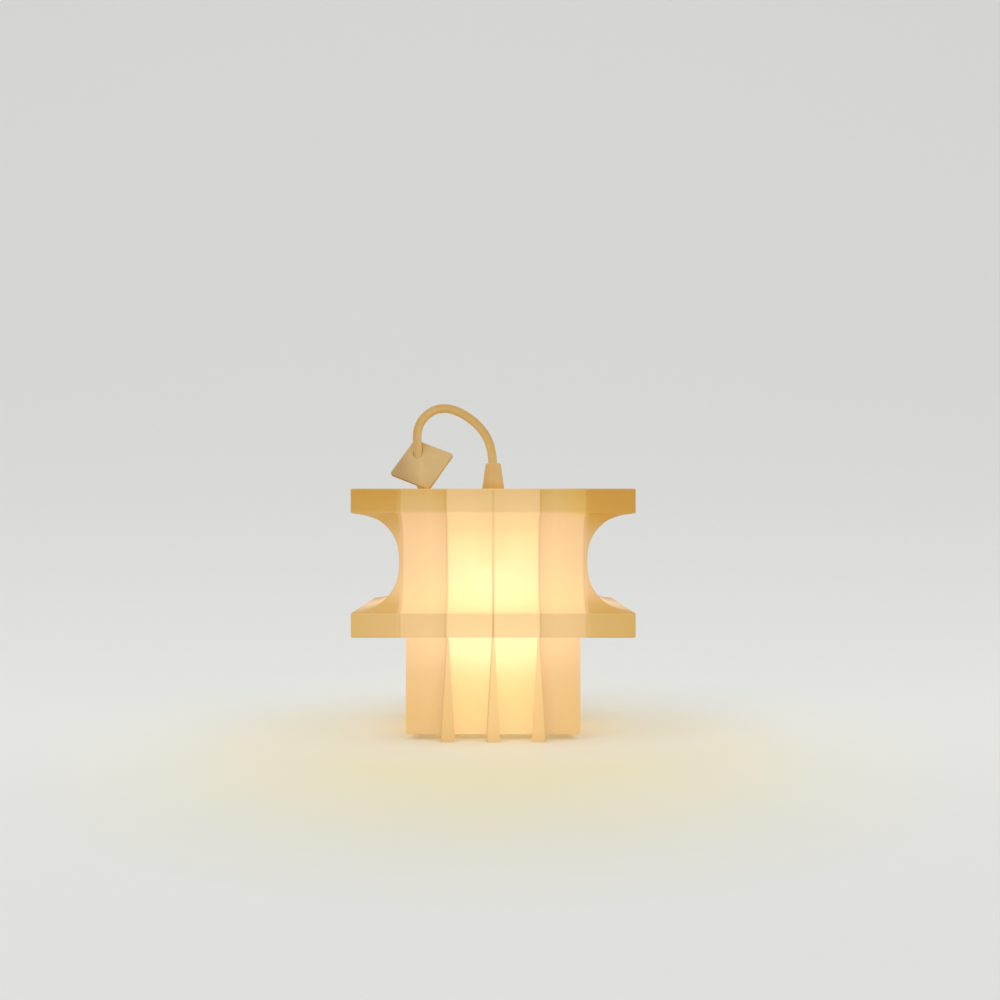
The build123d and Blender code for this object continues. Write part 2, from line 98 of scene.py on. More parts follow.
@dataclass(frozen=True)
class Plan:
    """Driving sizes of the lantern, repeated from the part's source."""

    band_half: float = 110 * MM
    top: float = 200 * MM
    upper_band_foot: float = 181 * MM
    lower_band_top: float = 104 * MM
    lower_band_foot: float = 85 * MM
    core_half: float = 70 * MM
    core_foot: float = 4.5 * MM
    film: float = 0.8 * MM
    nipple_radius: float = 5.2 * MM
    lamp_height: float = 98 * MM
    rib_places: tuple[float, ...] = (-37 * MM, 0.0, 37 * MM)
    corner_rib: float = 73.2 * MM
    leg_spacing: float = 36.3 * MM
    leg_foot_height: float = 9 * MM
    leg_foot_half: float = 5.3 * MM
    leg_top_half: float = 0.9 * MM
    cord_radius: float = 3.75 * MM
    cord_length: float = 1.92

    @property
    def waist_height(self) -> float:
        """Height of the hollow's deepest line."""
        return (self.upper_band_foot + self.lower_band_top) / 2


PLAN = Plan()
WAIST_PROFILE_MM = ((38.5, 0.0), (36.6, 11.0), (33.3, 19.4), (26.2, 27.3), (16.6, 32.6), (0.0, 34.9))


@dataclass(frozen=True)
class Fade:
    """A tint that grows along a direction, between two distances in millimetres."""

    along: Point
    start: float
    end: float
    tint: Colour


@dataclass(frozen=True)
class Rise:
    """A smooth change of a value over a length: its ends in millimetres, and the value at each."""

    start: float
    end: float
    before: float = 0.0
    after: float = 1.0


@dataclass(frozen=True)
class RibShadow:
    """A rib's thin shadow: place and half width in millimetres, and the light left low and high up."""

    centre: float
    width: float
    low: float
    high: float


@dataclass(frozen=True)
class Finish:
    """Constant settings of one material."""

    name: str
    base: Colour
    roughness: float
    metallic: float = 0.0
    coat: float = 0.0
    mottle: float = 0.06
    mottle_scale: float = 60.0
    bump: float = 0.05
    grain_scale: float = 900.0
    glow_strength: float = 0.0
    panelled: float = 1.0
    fades: tuple[Fade, ...] = ()
    arch_painted_shade: Optional[Colour] = None
    subsurface: float = 0.0


FILM = Finish("film", srgb(193, 149, 60), 0.42, coat=0.08, mottle=0.05, mottle_scale=35.0,
              bump=0.04, glow_strength=1.0)
LEG_FILM = Finish("leg_film", srgb(193, 149, 60), 0.45, mottle=0.05, bump=0.05,
                  glow_strength=1.0, panelled=0.0)
# The grip's fade paints an orange glow into its foot, where it stands on the lit top
GRIP = Finish("grip_plastic", srgb(222, 184, 116), 0.4, coat=0.1, bump=0.03, subsurface=0.2,
              fades=(Fade((0, 0, 1), 210.0, 201.0, (0.96, 0.8, 0.36)),))
# The cord's arch gets painted shade on the side facing away from the arch's middle
CORD = Finish("cord_sheath", srgb(225, 192, 123), 0.38, coat=0.12, mottle=0.08, mottle_scale=120.0,
              bump=0.05, subsurface=0.2, arch_painted_shade=(0.80, 0.68, 0.45))
TAG = Finish("tag_sheet", srgb(215, 181, 121), 0.5, mottle=0.1, mottle_scale=70.0, bump=0.06,
             # Painted shade towards the tag's lower left
             fades=(Fade((-0.9, 0, -0.3), -13.0, 8.0, (0.72, 0.64, 0.56)),
                    # Painted orange glow at the tag's foot, as from the lit top below it
                    Fade((0.3, 0, -1.0), -228.0, -216.0, (0.97, 0.82, 0.54)),
                    # These two fades paint a faint highlight as a narrow upright strip beside the cord
                    Fade((1.0, 0, 0), -63.0, -61.5, (1.03, 1.035, 1.04)),
                    Fade((1.0, 0, 0), -59.5, -58.0, (0.971, 0.966, 0.962))))
# The frame's own paint, with the lamp's light painted into it as a glow at seven tenths of the film's, though
# the frame gives off no light
FRAME_PAINT_AND_GLOW = Finish("frame_paint", srgb(226, 205, 160), 0.45, bump=0.05, glow_strength=0.7)
BRASS = Finish("brass", srgb(205, 168, 92), 0.3, metallic=1.0, bump=0.03)
HOLDER = Finish("holder_plastic", srgb(226, 214, 188), 0.32, coat=0.2, bump=0.02)
BULB_METAL = Finish("bulb_metal", srgb(190, 188, 184), 0.28, metallic=1.0, bump=0.03)
PLUG = Finish("plug_plastic", srgb(216, 180, 120), 0.4, coat=0.1, bump=0.04)
PIN = Finish("pin_metal", srgb(200, 198, 192), 0.22, metallic=1.0, bump=0.02)
TIE = Finish("tie_fabric", srgb(196, 180, 150), 0.85, mottle=0.15, mottle_scale=400.0, bump=0.3,
             grain_scale=1600.0)

# Light that the film gives off at each level of its glow, in linear colour
GLOW_STOPS = (
    (0.00, (0.05, 0.010, 0.0)),
    (0.12, (0.12, 0.035, 0.0)),
    (0.16, (0.15, 0.085, 0.03)),
    (0.22, (0.22, 0.165, 0.09)),
    (0.34, (0.34, 0.257, 0.18)),
    (0.50, (0.50, 0.375, 0.26)),
    (0.60, (0.60, 0.450, 0.29)),
    (0.70, (0.66, 0.510, 0.31)),
    (0.80, (0.64, 0.600, 0.35)),
    (0.90, (0.60, 0.700, 0.41)),
    (1.00, (0.66, 0.800, 0.475)),
)

# Share of the lamp's plain falloff at each height (mm), and the outer panels' share of the middle ones
MIDDLE_PROFILE = ((0, 0.88), (36, 0.87), (54, 0.90), (70, 1.0), (100, 1.03), (110, 1.05), (120, 1.0),
                  (142, 0.98), (158, 1.0), (174, 0.95), (184, 1.0), (200, 1.0))
OUTER_PROFILE = ((0, 0.72), (56, 0.70), (76, 0.72), (90, 0.78), (104, 0.84), (112, 0.84), (122, 0.80),
                 (135, 0.76), (150, 0.76), (164, 0.80), (176, 0.86), (184, 0.74), (200, 0.68))

# The panels' steps across the lantern, from the nearer middle plane outwards
COLUMN_EDGE = Rise(35.9, 36.8)
OUTER_SHADE = Rise(37.0, 50.0, 0.87, 1.0)
WING_EDGE = Rise(70.5, 75.5)
WING_LEVEL = Rise(104.0, 150.0, 0.74, 0.62)
RIB_SHADOWS = (
    RibShadow(0.0, 1.4, 0.45, 0.74),
    RibShadow(36.5, 1.7, 0.74, 0.80),
    RibShadow(72.2, 1.4, 0.8, 0.8),
)
RIB_CORE = 0.3
RIB_FOOT, RIB_TOP = 80.0, 185.0

# The lamp holder's faint shadow high in the middle panels
HOLDER_REACH = Rise(4.0, 20.0, 1.0, 0.0)
HOLDER_HEIGHT = Rise(128.0, 150.0)
HOLDER_SHADOW = 0.06

# Where the film turns level beside the bands it is seen edge on, and darker
SHOULDER_EDGE = Rise(78.0, 88.0)
FLARE_DEPTH = Rise(140.0, 184.0, 0.42, 0.24)
FLARE_TOP = Rise(184.0, 188.0, 1.0, 0.0)
SLANT_START, SLANT_END = 0.35, 0.9

# The lid's height, and its level, which falls evenly from its middle to its corners
LID_HEIGHT = Rise(198.8, 199.7)
LID_LEVEL = Rise(5.0, 100.0, 1.02, 0.55)

# The bands, where the film is doubled, and the corner at the right of the front
UPPER_BAND_HEIGHT = Rise(181.0, 182.6)
UPPER_BAND_LEVEL = Rise(178.0, 203.0, 0.71, 0.60)
LOWER_BAND_FOOT = Rise(84.6, 85.6)
LOWER_BAND_TOP = Rise(103.0, 104.4, 1.0, 0.0)
LOWER_BAND_LEVEL = Rise(82.0, 107.0, 0.80, 0.70)
CORNER_LEVEL = Rise(165.0, 195.0, 1.0, 0.86)
GOLDEN_CORNER = Rise(150.0, 188.0)
GOLDEN_HEIGHT = Rise(145.0, 180.0)
GOLDEN_TINT = (1.0, 0.88, 0.5)
CORE_HEIGHT = Rise(30.0, 84.0, 1.0, 0.0)
CORE_TINT = (0.97, 0.96, 0.8)

# The legs: which side a leg is on, the painted shade along its edge where its side face is in shade, its
# foot, and the left one's shade
LEG_BETWEEN = Rise(17.9, 18.1)
LEG_SIDE = Rise(17.9, 18.1, -1.0, 1.0)
LEG_EDGE_SHADE = Rise(-1.5, -0.5, 1.0, 0.68)
LEG_LEVEL = Rise(0.0, 14.0, 0.70, 0.78)
LEFT_LEG_LEVEL = Rise(-20.0, -17.0, 0.88, 1.0)

# The lamp's plain falloff is one at this distance, and the film's haze moves it a little
FULL_GLOW_REACH = 79.5 * MM
HAZE_SCALE = 16.0
HAZE_SWING = 0.06

# Share of the glow that the film casts on its surroundings, beside what the camera sees
CAST_SHARE = 0.78
FILM_SPECULAR, SLANT_SPECULAR_LOSS = 0.45, 0.4

# The cord's arch: its middle, how far round the painted shade on its outer side goes, and from which height
ARCH_MIDDLE = (-33 * MM, 0.0, 233 * MM)
ARCH_FACING_START, ARCH_FACING_END = -0.35, 0.8
ARCH_HEIGHT = Rise(214.0, 256.0)


class Nodes:
    """Small helper that adds nodes to a tree and links them."""

    def __init__(self, tree: bpy.types.NodeTree) -> None:
        """Keep the tree to work in.

        Args:
            tree: The node tree.
        """
        self.tree = tree

    def add(self, kind: str, **settings: object) -> bpy.types.Node:
        """Add a node of a kind and set its properties.

        Args:
            kind: Blender's node type name.
            **settings: Properties to set on it.

        Returns:
            The new node.
        """
        node = self.tree.nodes.new(kind)
        for key, value in settings.items():
            setattr(node, key, value)
        return node

    def link(self, source: bpy.types.NodeSocket, target: bpy.types.NodeSocket) -> None:
        """Link two sockets.

        Args:
            source: The output socket.
            target: The input socket.
        """
        self.tree.links.new(source, target)

    def feed(self, target: bpy.types.NodeSocket, value: object) -> None:
        """Link a socket into another, or set a number on it.

        Args:
            target: The input socket.
            value: Socket or number.
        """
        if isinstance(value, bpy.types.NodeSocket):
            self.link(value, target)
        else:
            target.default_value = value

    def math(self, operation: str, *values: object, clamp: bool = False) -> bpy.types.NodeSocket:
        """Add a math node.

        Args:
            operation: Blender's operation name.
            *values: Sockets or numbers for its inputs.
            clamp: Keep the result from 0 to 1.

        Returns:
            Its output socket.
        """
        node = self.add("ShaderNodeMath", operation=operation, use_clamp=clamp)
        for socket, value in zip(node.inputs, values):
            self.feed(socket, value)
        return node.outputs[0]

    def step(self, value: object, low: float, high: float,
             low_to: float = 0.0, high_to: float = 1.0) -> bpy.types.NodeSocket:
        """Add a smooth step of a value between two limits.

        Args:
            value: Socket with the value.
            low: Where the step starts.
            high: Where it ends.
            low_to: Result below the step.
            high_to: Result above it.

        Returns:
            The stepped value's socket.
        """
        node = self.add("ShaderNodeMapRange", interpolation_type="SMOOTHSTEP")
        for socket, number in zip(node.inputs, (value, low, high, low_to, high_to)):
            self.feed(socket, number)
        return node.outputs[0]

    def rise(self, value: object, rise: Rise) -> bpy.types.NodeSocket:
        """Add the smooth change that a Rise describes.

        Args:
            value: Socket with a length in metres.
            rise: The change.

        Returns:
            The changed value's socket.
        """
        return self.step(value, rise.start * MM, rise.end * MM, rise.before, rise.after)

    def product(self, first: object, *others: object) -> bpy.types.NodeSocket:
        """Multiply values together.

        Args:
            first: Socket or number.
            *others: Sockets or numbers.

        Returns:
            The product's socket.
        """
        for other in others:
            first = self.math("MULTIPLY", first, other)
        return first

    def rest(self, share: object) -> bpy.types.NodeSocket:
        """Add what is left of one after a share.

        Args:
            share: Socket or number from 0 to 1.

        Returns:
            The rest's socket.
        """
        return self.math("SUBTRACT", 1.0, share)

    def away(self, first: object, second: object) -> bpy.types.NodeSocket:
        """Add the length of a flat offset.

        Args:
            first: Socket with the offset one way.
            second: Socket with the offset the other way.

        Returns:
            The length's socket.
        """
        squares = self.math("ADD", self.math("POWER", first, 2.0), self.math("POWER", second, 2.0))
        return self.math("SQRT", squares)

    def tint(self, colour: object, amount: object, by: Colour) -> bpy.types.NodeSocket:
        """Multiply a colour by another, as far as an amount says.

        Args:
            colour: Socket with the colour.
            amount: Socket or number from 0 to 1.
            by: Colour to multiply by.

        Returns:
            The tinted colour's socket.
        """
        node = self.add("ShaderNodeMix", data_type="RGBA", blend_type="MULTIPLY")
        self.feed(node.inputs["Factor"], amount)
        self.feed(node.inputs["A"], colour)
        node.inputs["B"].default_value = (*by, 1.0)
        return node.outputs["Result"]

    def profile(self, height: object, points: Sequence[tuple[float, float]]) -> bpy.types.NodeSocket:
        """Add a curve over the lantern's height.

        Args:
            height: Socket with the height in metres.
            points: Height in millimetres and value, from low to high.

        Returns:
            The value's socket.
        """
        node = self.add("ShaderNodeFloatCurve")
        curve = node.mapping.curves[0]
        scale, tallest = 1.2, PLAN.top / MM
        while len(curve.points) < len(points):
            curve.points.new(0.5, 0.5)
        for point, (place, value) in zip(curve.points, points):
            point.location = (place / tallest, value / scale)
        node.mapping.update()
        self.feed(node.inputs["Value"], self.math("DIVIDE", height, tallest * MM))
        return self.math("MULTIPLY", node.outputs[0], scale)


def new_group(name: str, inputs: Sequence[tuple[str, str]], outputs: Sequence[tuple[str, str]]) -> tuple[
        bpy.types.NodeTree, Nodes, bpy.types.Node, bpy.types.Node]:
    """Make an empty shader node group.

    Args:
        name: The group's name.
        inputs: Name and socket type of each input.
        outputs: Name and socket type of each output.

    Returns:
        The group, its helper, and its input and output nodes.
    """
    group = bpy.data.node_groups.new(name, "ShaderNodeTree")
    for label, kind in inputs:
        group.interface.new_socket(label, in_out="INPUT", socket_type=kind)
    for label, kind in outputs:
        group.interface.new_socket(label, in_out="OUTPUT", socket_type=kind)
    nodes = Nodes(group)
    return group, nodes, nodes.add("NodeGroupInput"), nodes.add("NodeGroupOutput")


@dataclass(frozen=True)
class Spot:
    """Sockets with a point's signed offsets, its plain ones, its height, and the smaller plain offset."""

    right: bpy.types.NodeSocket
    back: bpy.types.NodeSocket
    x: bpy.types.NodeSocket
    z: bpy.types.NodeSocket
    across: bpy.types.NodeSocket


def read_spot(n: Nodes, place: bpy.types.NodeSocket) -> Spot:
    """Split a place into the offsets that the glow depends on.

    Args:
        n: The group's nodes.
        place: Object coordinates.

    Returns:
        The sockets.
    """
    split = n.add("ShaderNodeSeparateXYZ")
    n.link(place, split.inputs[0])
    x = n.math("ABSOLUTE", split.outputs["X"])
    y = n.math("ABSOLUTE", split.outputs["Y"])
    return Spot(split.outputs["X"], split.outputs["Y"], x, split.outputs["Z"], n.math("MINIMUM", x, y))


def panel_share(n: Nodes, spot: Spot, slant: bpy.types.NodeSocket) -> bpy.types.NodeSocket:
    """Add the share of the glow that comes through each panel, with its ribs, wings and shoulders.

    Args:
        n: The group's nodes.
        spot: The point.
        slant: How level the film lies there.

    Returns:
        The share's socket.
    """
    column = n.rise(spot.across, COLUMN_EDGE)
    outer = n.math("SUBTRACT", n.profile(spot.z, OUTER_PROFILE), 1.0)
    panel = n.math("ADD", 1.0, n.product(outer, column))
    shade = n.math("MAXIMUM", n.rise(spot.across, OUTER_SHADE), n.rest(column))
    past = n.rise(spot.across, WING_EDGE)
    wing = n.math("SUBTRACT", n.rise(spot.z, WING_LEVEL), 1.0)
    panel = n.product(panel, shade, n.math("ADD", 1.0, n.product(wing, past)))
    for rib in RIB_SHADOWS:
        gap = n.math("ABSOLUTE", n.math("SUBTRACT", spot.across, rib.centre * MM))
        depth = n.rise(spot.z, Rise(RIB_FOOT, RIB_TOP, rib.low, rib.high))
        panel = n.product(panel, n.step(gap, RIB_CORE * MM, rib.width * MM, depth, 1.0))
    holder = n.product(n.rise(spot.across, HOLDER_REACH), n.rise(spot.z, HOLDER_HEIGHT), HOLDER_SHADOW)
    shoulder = n.math("MAXIMUM", past, n.rise(spot.x, SHOULDER_EDGE))
    flare = n.product(shoulder, slant, n.rise(spot.z, FLARE_DEPTH), n.rise(spot.z, FLARE_TOP))
    panel = n.product(panel, n.rest(holder), n.rest(flare))
    lid = n.rise(spot.z, LID_HEIGHT)
    return n.math("ADD", panel, n.product(lid, n.math("SUBTRACT", n.rise(spot.across, LID_LEVEL), panel)))


def band_share(n: Nodes, spot: Spot) -> bpy.types.NodeSocket:
    """Add the share of the glow that comes through the doubled film of the bands.

    Args:
        n: The group's nodes.
        spot: The point.

    Returns:
        The share's socket.
    """
    upper = n.product(n.rise(spot.z, UPPER_BAND_HEIGHT), n.rest(n.rise(spot.z, UPPER_BAND_LEVEL)))
    lower = n.product(n.rise(spot.z, LOWER_BAND_FOOT), n.rise(spot.z, LOWER_BAND_TOP),
                      n.rest(n.rise(spot.z, LOWER_BAND_LEVEL)))
    return n.rest(n.math("ADD", upper, lower))


def leg_share(n: Nodes, spot: Spot) -> bpy.types.NodeSocket:
    """Add the share of the glow on the blade legs, with a thin line of painted shade along one edge of each.

    Args:
        n: The group's nodes.
        spot: The point.

    Returns:
        The share's socket.
    """
    half = n.step(spot.z, PLAN.leg_foot_height, PLAN.lower_band_foot, PLAN.leg_foot_half, PLAN.leg_top_half)
    half.node.interpolation_type = "LINEAR"
    turned = n.product(spot.right, n.rise(spot.right, LEG_SIDE))
    outward = n.math("SUBTRACT", turned, n.product(n.rise(spot.x, LEG_BETWEEN), PLAN.leg_spacing))
    # Painted shade along one edge of the leg, where its side face is seen in shade
    hem = n.rise(n.math("SUBTRACT", outward, half), LEG_EDGE_SHADE)
    return n.product(hem, n.rise(spot.z, LEG_LEVEL), n.rise(spot.right, LEFT_LEG_LEVEL))


def glow_colour(n: Nodes, level: bpy.types.NodeSocket, spot: Spot,
                spread: bpy.types.NodeSocket) -> bpy.types.NodeSocket:
    """Add the colour of the film's glow.

    Args:
        n: The group's nodes.
        level: The glow's level.
        spot: The point.
        spread: How far the point lies towards the corner at the right of the front.

    Returns:
        The colour's socket.
    """
    ramp = n.add("ShaderNodeValToRGB")
    stops = ramp.color_ramp.elements
    while len(stops) < len(GLOW_STOPS):
        stops.new(0.5)
    for stop, (position, colour) in zip(stops, GLOW_STOPS):
        stop.position = position
        stop.color = (*colour, 1.0)
    n.link(level, ramp.inputs[0])
    golden = n.product(n.rise(spread, GOLDEN_CORNER), n.rise(spot.z, GOLDEN_HEIGHT))
    colour = n.tint(ramp.outputs["Color"], golden, GOLDEN_TINT)
    return n.tint(colour, n.rise(spot.z, CORE_HEIGHT), CORE_TINT)


def glow_group() -> bpy.types.NodeTree:
    """Make the group that gives the film its glow at a point.

    The level falls off with the distance from the lamp, steps down across the ribs,
    which carry their own thin shadow, and drops again where the bands double the film.

    Returns:
        The node group, with a colour.
    """
    group, n, source, sink = new_group(
        "lamp_glow",
        [("Place", "NodeSocketVector"), ("Panelled", "NodeSocketFloat"), ("Slant", "NodeSocketFloat")],
        [("Colour", "NodeSocketColor")])
    place, panelled = source.outputs["Place"], source.outputs["Panelled"]
    lamp = n.add("ShaderNodeVectorMath", operation="DISTANCE")
    n.link(place, lamp.inputs[0])
    lamp.inputs[1].default_value = (0, 0, PLAN.lamp_height)
    falloff = n.math("DIVIDE", FULL_GLOW_REACH, lamp.outputs["Value"])
    spot = read_spot(n, place)
    spread = n.math("SUBTRACT", spot.right, spot.back)
    panel = n.product(panel_share(n, spot, source.outputs["Slant"]), band_share(n, spot),
                      n.rise(spread, CORNER_LEVEL))
    share = n.math("ADD", n.product(panel, panelled), n.product(n.rest(panelled), leg_share(n, spot)))
    haze = n.add("ShaderNodeTexNoise", noise_dimensions="3D")
    haze.inputs["Scale"].default_value = HAZE_SCALE
    haze.inputs["Detail"].default_value = 2.0
    n.link(place, haze.inputs["Vector"])
    uneven = n.math("ADD", 1.0 - HAZE_SWING / 2, n.product(haze.outputs["Fac"], HAZE_SWING))
    share = n.product(share, n.profile(spot.z, MIDDLE_PROFILE))
    level = n.math("MULTIPLY", n.product(falloff, share), uneven, clamp=True)
    n.link(glow_colour(n, level, spot, spread), sink.inputs["Colour"])
    return group


def surface_group() -> bpy.types.NodeTree:
    """Make the group with a surface's mottling, uneven gloss and fine grain.

    Returns:
        The node group, with a colour, a roughness and a height.
    """
    group, n, source, sink = new_group(
        "moulded_surface",
        [("Place", "NodeSocketVector"), ("Base", "NodeSocketColor"), ("Mottle", "NodeSocketFloat"),
         ("Mottle scale", "NodeSocketFloat"), ("Grain scale", "NodeSocketFloat"),
         ("Roughness", "NodeSocketFloat")],
        [("Colour", "NodeSocketColor"), ("Roughness", "NodeSocketFloat"), ("Height", "NodeSocketFloat")])
    cloud = n.add("ShaderNodeTexNoise", noise_dimensions="3D")
    n.link(source.outputs["Place"], cloud.inputs["Vector"])
    n.link(source.outputs["Mottle scale"], cloud.inputs["Scale"])
    cloud.inputs["Detail"].default_value = 4.0
    swing = n.math("MULTIPLY", n.math("SUBTRACT", cloud.outputs["Fac"], 0.5), source.outputs["Mottle"])
    value = n.math("ADD", n.math("MULTIPLY", swing, 2.0), 1.0)
    tone = n.add("ShaderNodeHueSaturation")
    n.link(source.outputs["Base"], tone.inputs["Color"])
    n.link(value, tone.inputs["Value"])
    grain = n.add("ShaderNodeTexNoise", noise_dimensions="3D")
    n.link(source.outputs["Place"], grain.inputs["Vector"])
    n.link(source.outputs["Grain scale"], grain.inputs["Scale"])
    grain.inputs["Detail"].default_value = 3.0
    rough = n.math("ADD", source.outputs["Roughness"], n.math("MULTIPLY", swing, 1.5), clamp=True)
    height = n.math("ADD", grain.outputs["Fac"], n.math("MULTIPLY", cloud.outputs["Fac"], 2.0))
    n.link(tone.outputs["Color"], sink.inputs["Colour"])
    n.link(rough, sink.inputs["Roughness"])
    n.link(height, sink.inputs["Height"])
    return group


@dataclass
class Library:
    """Shared node groups and the materials made from them."""

    glow: bpy.types.NodeTree
    surface: bpy.types.NodeTree
    made: dict[str, bpy.types.Material] = field(default_factory=dict)

    def material(self, finish: Finish) -> bpy.types.Material:
        """Make a finish's material, once.

        Args:
            finish: The finish.

        Returns:
            Its material.
        """
        if finish.name in self.made:
            return self.made[finish.name]
        material = bpy.data.materials.new(finish.name)
        material.use_nodes = True
        material.node_tree.nodes.clear()
        n = Nodes(material.node_tree)
        out = n.add("ShaderNodeOutputMaterial")
        shader = n.add("ShaderNodeBsdfPrincipled")
        place = n.add("ShaderNodeTexCoord").outputs["Object"]
        skin = n.add("ShaderNodeGroup", node_tree=self.surface)
        n.link(place, skin.inputs["Place"])
        skin.inputs["Base"].default_value = (*finish.base, 1.0)
        skin.inputs["Mottle"].default_value = finish.mottle
        skin.inputs["Mottle scale"].default_value = finish.mottle_scale
        skin.inputs["Grain scale"].default_value = finish.grain_scale
        skin.inputs["Roughness"].default_value = finish.roughness
        n.link(self.base_colour(n, place, skin.outputs["Colour"], finish), shader.inputs["Base Color"])
        n.link(skin.outputs["Roughness"], shader.inputs["Roughness"])
        bump = n.add("ShaderNodeBump")
        bump.inputs["Strength"].default_value = finish.bump
        bump.inputs["Distance"].default_value = 0.3 * MM
        n.link(skin.outputs["Height"], bump.inputs["Height"])
        n.link(bump.outputs["Normal"], shader.inputs["Normal"])
        shader.inputs["Metallic"].default_value = finish.metallic
        shader.inputs["Coat Weight"].default_value = finish.coat
        if finish.subsurface:
            shader.inputs["Subsurface Weight"].default_value = finish.subsurface
            shader.inputs["Subsurface Scale"].default_value = 2.0 * MM
        if finish.glow_strength:
            self.add_glow(n, place, shader, finish)
        n.link(shader.outputs["BSDF"], out.inputs["Surface"])
        self.made[finish.name] = material
        return material

    def base_colour(self, n: Nodes, place: bpy.types.NodeSocket, colour: bpy.types.NodeSocket,
                    finish: Finish) -> bpy.types.NodeSocket:
        """Tint a surface's colour by the finish's fades and arch shade, which paint glow, shade and a
        highlight onto it.

        Args:
            n: The material's nodes.
            place: Object coordinates.
            colour: The plain surface's colour.
            finish: The finish.

        Returns:
            The tinted colour's socket.
        """
        for fade in finish.fades:
            reach = n.add("ShaderNodeVectorMath", operation="DOT_PRODUCT")
            n.link(place, reach.inputs[0])
            reach.inputs[1].default_value = fade.along
            amount = n.rise(reach.outputs["Value"], Rise(fade.start, fade.end))
            colour = n.tint(colour, amount, fade.tint)
        if finish.arch_painted_shade:
            colour = self.arch_shade(n, place, colour, finish.arch_painted_shade)
        return colour

    def add_glow(self, n: Nodes, place: bpy.types.NodeSocket, shader: bpy.types.Node, finish: Finish) -> None:
        """Let a shader give off the lamp's light, as the film does.

        Args:
            n: The material's nodes.
            place: Object coordinates.
            shader: The material's shader.
            finish: The finish.
        """
        glow = n.add("ShaderNodeGroup", node_tree=self.glow)
        n.link(place, glow.inputs["Place"])
        glow.inputs["Panelled"].default_value = finish.panelled
        lean = n.add("ShaderNodeSeparateXYZ")
        n.link(n.add("ShaderNodeNewGeometry").outputs["Normal"], lean.inputs[0])
        slant = n.step(n.math("ABSOLUTE", lean.outputs["Z"]), SLANT_START, SLANT_END)
        n.link(slant, glow.inputs["Slant"])
        specular = n.math("SUBTRACT", FILM_SPECULAR, n.product(slant, SLANT_SPECULAR_LOSS))
        n.link(specular, shader.inputs["Specular IOR Level"])
        n.link(glow.outputs["Colour"], shader.inputs["Emission Color"])
        seen = n.add("ShaderNodeLightPath").outputs["Is Camera Ray"]
        share = n.math("ADD", CAST_SHARE, n.product(seen, 1.0 - CAST_SHARE))
        n.link(n.product(share, finish.glow_strength), shader.inputs["Emission Strength"])

    def arch_shade(self, n: Nodes, place: bpy.types.NodeSocket, colour: bpy.types.NodeSocket,
                   tint: Colour) -> bpy.types.NodeSocket:
        """Paint shade on the side of a sheath that faces away from the middle of the cord's arch.

        Args:
            n: The material's nodes.
            place: Object coordinates.
            colour: The colour to tint.
            tint: The colour of the painted shade on the outer side.

        Returns:
            The tinted colour's socket.
        """
        away = n.add("ShaderNodeVectorMath", operation="SUBTRACT")
        n.link(place, away.inputs[0])
        away.inputs[1].default_value = ARCH_MIDDLE
        unit = n.add("ShaderNodeVectorMath", operation="NORMALIZE")
        n.link(away.outputs["Vector"], unit.inputs[0])
        outward = n.add("ShaderNodeVectorMath", operation="DOT_PRODUCT")
        n.link(unit.outputs["Vector"], outward.inputs[0])
        n.link(n.add("ShaderNodeNewGeometry").outputs["Normal"], outward.inputs[1])
        split = n.add("ShaderNodeSeparateXYZ")
        n.link(place, split.inputs[0])
        facing = n.step(outward.outputs["Value"], ARCH_FACING_START, ARCH_FACING_END)
        return n.tint(colour, n.product(facing, n.rise(split.outputs["Z"], ARCH_HEIGHT)), tint)

    def bulb_glass(self) -> bpy.types.Material:
        """Make the lit opal glass of the bulb, dimmer towards its neck.

        Returns:
            The material.
        """
        material = bpy.data.materials.new("bulb_opal")
        material.use_nodes = True
        material.node_tree.nodes.clear()
        n = Nodes(material.node_tree)
        out = n.add("ShaderNodeOutputMaterial")
        shader = n.add("ShaderNodeBsdfPrincipled")
        place = n.add("ShaderNodeTexCoord").outputs["Object"]
        split = n.add("ShaderNodeSeparateXYZ")
        n.link(place, split.inputs[0])
        neck = n.step(split.outputs["Z"], 112.0 * MM, 140.0 * MM)
        tint = n.add("ShaderNodeMix", data_type="RGBA")
        n.link(neck, tint.inputs["Factor"])
        tint.inputs["A"].default_value = (1.0, 0.86, 0.58, 1.0)
        tint.inputs["B"].default_value = (0.8, 0.52, 0.25, 1.0)
        n.link(tint.outputs["Result"], shader.inputs["Emission Color"])
        shader.inputs["Emission Strength"].default_value = 2.2
        shader.inputs["Base Color"].default_value = (0.9, 0.86, 0.78, 1.0)
        shader.inputs["Roughness"].default_value = 0.3
        n.link(shader.outputs["BSDF"], out.inputs["Surface"])
        return material


def mesh_object(name: str, vertices: np.ndarray, faces: np.ndarray) -> bpy.types.Object:
    """Make a smooth mesh object from arrays.

    Args:
        name: The object's name.
        vertices: Array of points, one row each.
        faces: Array of quads, one row each.

    Returns:
        The new object, linked to the scene.
    """
    mesh = bpy.data.meshes.new(name)
    mesh.from_pydata(vertices.tolist(), [], faces.tolist())
    mesh.validate()
    mesh.update()
    mesh.polygons.foreach_set("use_smooth", [True] * len(mesh.polygons))
    thing = bpy.data.objects.new(name, mesh)
    bpy.context.collection.objects.link(thing)
    return thing


def grid_faces(rows: int, columns: int, closed: bool) -> np.ndarray:
    """Quads of a grid whose points run row by row.

    Args:
        rows: Number of rows.
        columns: Points in a row.
        closed: Whether the last column joins the first.

    Returns:
        Array of quads.
    """
    last = columns if closed else columns - 1
    row, column = np.meshgrid(np.arange(rows - 1), np.arange(last), indexing="ij")
    right = (column + 1) % columns
    quads = np.stack([row * columns + column, row * columns + right,
                      (row + 1) * columns + right, (row + 1) * columns + column], axis=-1)
    return quads.reshape(-1, 4)


